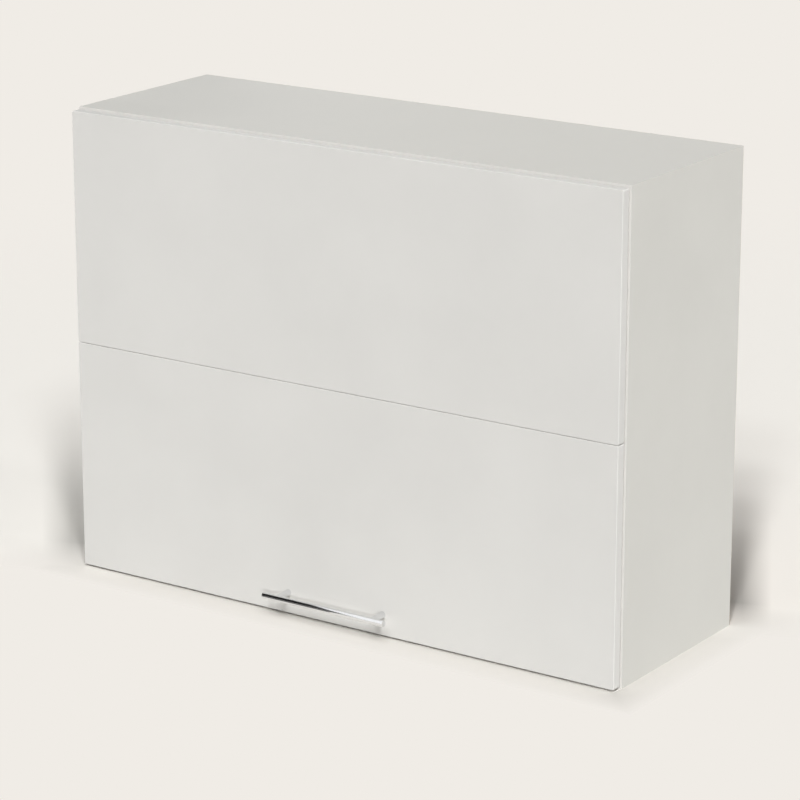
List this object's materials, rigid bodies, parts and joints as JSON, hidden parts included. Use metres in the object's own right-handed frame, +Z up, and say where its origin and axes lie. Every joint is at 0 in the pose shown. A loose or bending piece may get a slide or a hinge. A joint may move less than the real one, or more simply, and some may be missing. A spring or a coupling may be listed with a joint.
{
  "type": "range hood cabinet",
  "caption": "White wall cabinet for a built-in range hood, with stacked flat fronts that fold and lift together on spring arms, a slim chrome bar handle and hooks for a wall rail.",
  "frame": {"origin": "under the middle of the whole object, on the plane of its underside", "axes": "+X to the right seen from the front, +Y from the handle side to the wall, +Z up"},
  "size_m": [0.9, 0.3445, 0.678],
  "materials": {
    "carcass_board": "white melamine-faced board",
    "front_board": "satin white lacquered board",
    "back_board": "white lacquered hardboard",
    "edge_band": "white edge band",
    "chrome": "polished chrome",
    "white_plastic": "moulded, fine texture",
    "zinc_alloy": "die-cast, nickel plated",
    "beech": "plain beech",
    "bumper_gel": "soft clear bumper",
    "spring_steel": "drawn wire",
    "plated_steel": "nickel-plated steel"
  },
  "bodies": {
    "carcass": {"top_panel": "carcass_board", "bottom_panel": "carcass_board", "back_panel": "back_board", "shelf": "carcass_board", "edge_bands": "edge_band", "shelf_pins": "zinc_alloy", "cam_locks": "zinc_alloy", "cam_bolts": "plated_steel", "dowels": "beech", "hanger_screws": "plated_steel", "lift_base_screws": "plated_steel", "top_hinge_plate_screws": "plated_steel", "left_side_panel": "carcass_board", "left_hanger_body": "white_plastic", "left_hanger_cover": "white_plastic", "left_top_hinge_plate": "plated_steel", "left_top_hinge_arm": "plated_steel", "left_lift_base": "plated_steel", "left_lift_cover": "white_plastic", "left_lift_spring": "spring_steel", "right_side_panel": "carcass_board", "right_hanger_body": "white_plastic", "right_hanger_cover": "white_plastic", "right_top_hinge_plate": "plated_steel", "right_top_hinge_arm": "plated_steel", "right_lift_base": "plated_steel", "right_lift_cover": "white_plastic", "right_lift_spring": "spring_steel"},
    "upper_front": {"upper_front": "front_board", "top_hinge_case_screws": "plated_steel", "centre_hinge_upper_screws": "plated_steel", "left_top_hinge_pin": "plated_steel", "left_top_hinge_case": "plated_steel", "left_centre_hinge_upper_leaf": "plated_steel", "left_centre_hinge_pin": "plated_steel", "right_top_hinge_pin": "plated_steel", "right_top_hinge_case": "plated_steel", "right_centre_hinge_upper_leaf": "plated_steel", "right_centre_hinge_pin": "plated_steel"},
    "lower_front": {"lower_front": "front_board", "centre_hinge_lower_screws": "plated_steel", "bracket_screws": "plated_steel", "handle_bar": "chrome", "handle_screws": "plated_steel", "front_bumpers": "bumper_gel", "left_centre_hinge_lower_leaf": "plated_steel", "left_arm_bracket": "plated_steel", "left_handle_post": "chrome", "right_centre_hinge_lower_leaf": "plated_steel", "right_arm_bracket": "plated_steel", "right_handle_post": "chrome"},
    "left_arm": {"left_lift_shaft": "plated_steel", "left_lift_arm": "plated_steel", "left_arm_pin": "plated_steel"},
    "left_hook": {"left_hanger_hook": "plated_steel"},
    "right_arm": {"right_lift_shaft": "plated_steel", "right_lift_arm": "plated_steel", "right_arm_pin": "plated_steel"},
    "right_hook": {"right_hanger_hook": "plated_steel"}
  },
  "joints": [
    {"name": "front_lift", "type": "hinge", "parent": "carcass", "child": "upper_front", "pos_m": [0, -0.13225, 0.6681], "axis": [-1, 0, 0], "range_deg": [0, 95]},
    {"name": "front_fold", "type": "hinge", "parent": "upper_front", "child": "lower_front", "pos_m": [0, -0.11825, 0.339], "axis": [1, 0, 0], "range_deg": [0, 114.1]},
    {"name": "left_arm_swing", "type": "hinge", "parent": "carcass", "child": "left_arm", "pos_m": [-0.404, -0.08875, 0.639], "axis": [-1, 0, 0], "range_deg": [0, 92.1], "deforming": ["left_lift_spring"]},
    {"name": "right_arm_swing", "type": "hinge", "parent": "carcass", "child": "right_arm", "pos_m": [0.404, -0.08875, 0.639], "axis": [-1, 0, 0], "range_deg": [0, 92.1], "deforming": ["right_lift_spring"]},
    {"name": "left_hook_adjust", "type": "slide", "parent": "carcass", "child": "left_hook", "axis": [0, 0, 1], "range_m": [-0.006, 0.006]},
    {"name": "right_hook_adjust", "type": "slide", "parent": "carcass", "child": "right_hook", "axis": [0, 0, 1], "range_m": [-0.006, 0.006]}
  ],
  "couplings": [
    {"joint": "front_fold", "follows": "front_lift", "ratio": 1.2},
    {"joint": "left_arm_swing", "follows": "front_lift", "ratio": 0.969},
    {"joint": "right_arm_swing", "follows": "front_lift", "ratio": 0.969}
  ]
}
